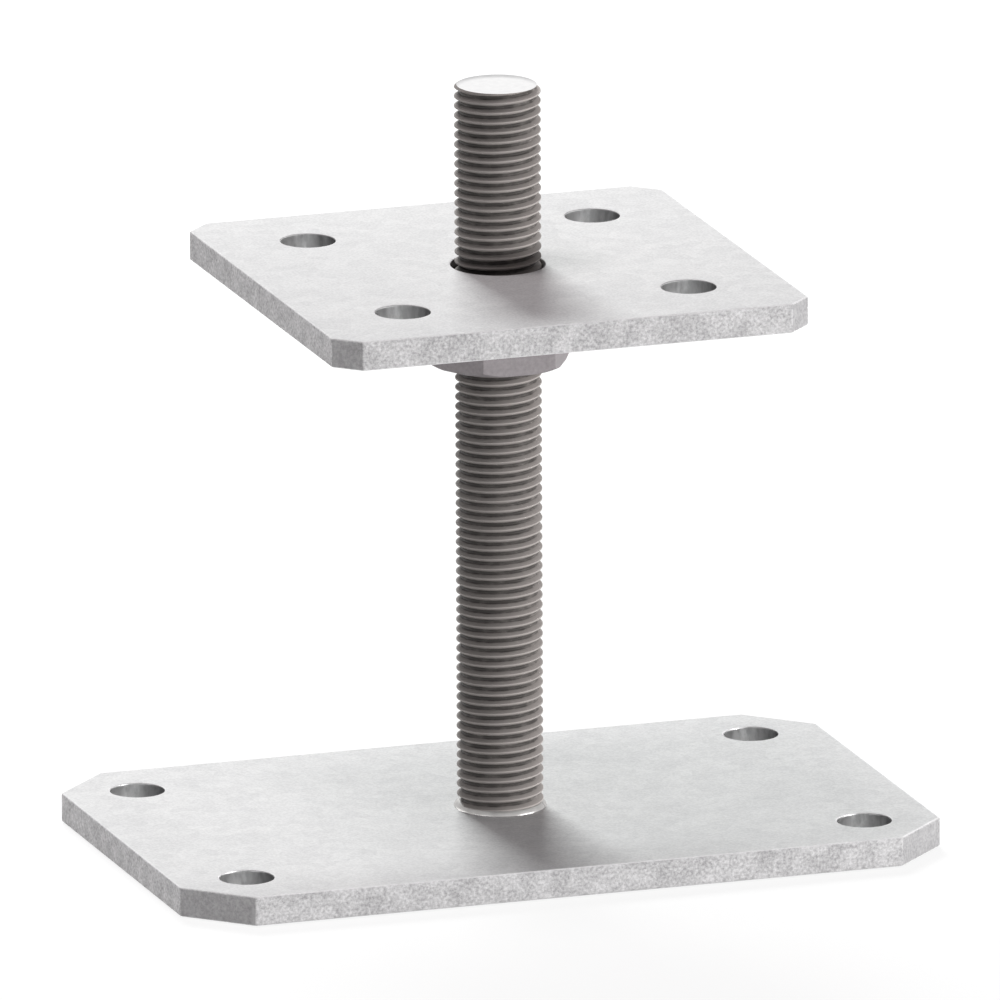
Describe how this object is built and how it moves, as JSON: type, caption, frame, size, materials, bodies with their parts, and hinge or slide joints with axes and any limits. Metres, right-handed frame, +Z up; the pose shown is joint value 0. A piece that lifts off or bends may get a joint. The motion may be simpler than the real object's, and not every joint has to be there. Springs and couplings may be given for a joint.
{
  "type": "adjustable post base",
  "caption": "Height-adjustable post base: a chamfered base plate and a square top plate joined by a threaded rod, with a nut that sets the top plate's height.",
  "frame": {"origin": "centre of the base plate's underside, on the ground", "axes": "+X along the base plate's long side, +Y across it, +Z up the threaded rod"},
  "size_m": [0.16, 0.1, 0.155],
  "materials": {
    "galvanised_plate": "hot-dip galvanised, pale matt grey with a fine grain",
    "galvanised_thread": "rolled thread with a dark grey zinc coat",
    "galvanised_nut": "zinc coated, mid grey, satin",
    "galvanised_weld": "weld bead under the zinc coat, slightly glossy"
  },
  "bodies": {
    "base": {"base_plate": "galvanised_plate", "threaded_rod": "galvanised_thread", "weld_bead": "galvanised_weld"},
    "top_plate": {"top_plate": "galvanised_plate"},
    "nut": {"hex_nut": "galvanised_nut"}
  },
  "joints": [
    {"name": "height", "type": "slide", "parent": "base", "child": "top_plate", "axis": [0, 0, 1], "range_m": [-0.088, 0.036]},
    {"name": "nut_turn", "type": "hinge", "parent": "top_plate", "child": "nut", "pos_m": [0, 0, 0.105], "axis": [0, 0, 1], "range_deg": [-15840, 6480]}
  ],
  "couplings": [
    {"joint": "nut_turn", "follows": "height", "rad_per_m": 3141.6}
  ]
}
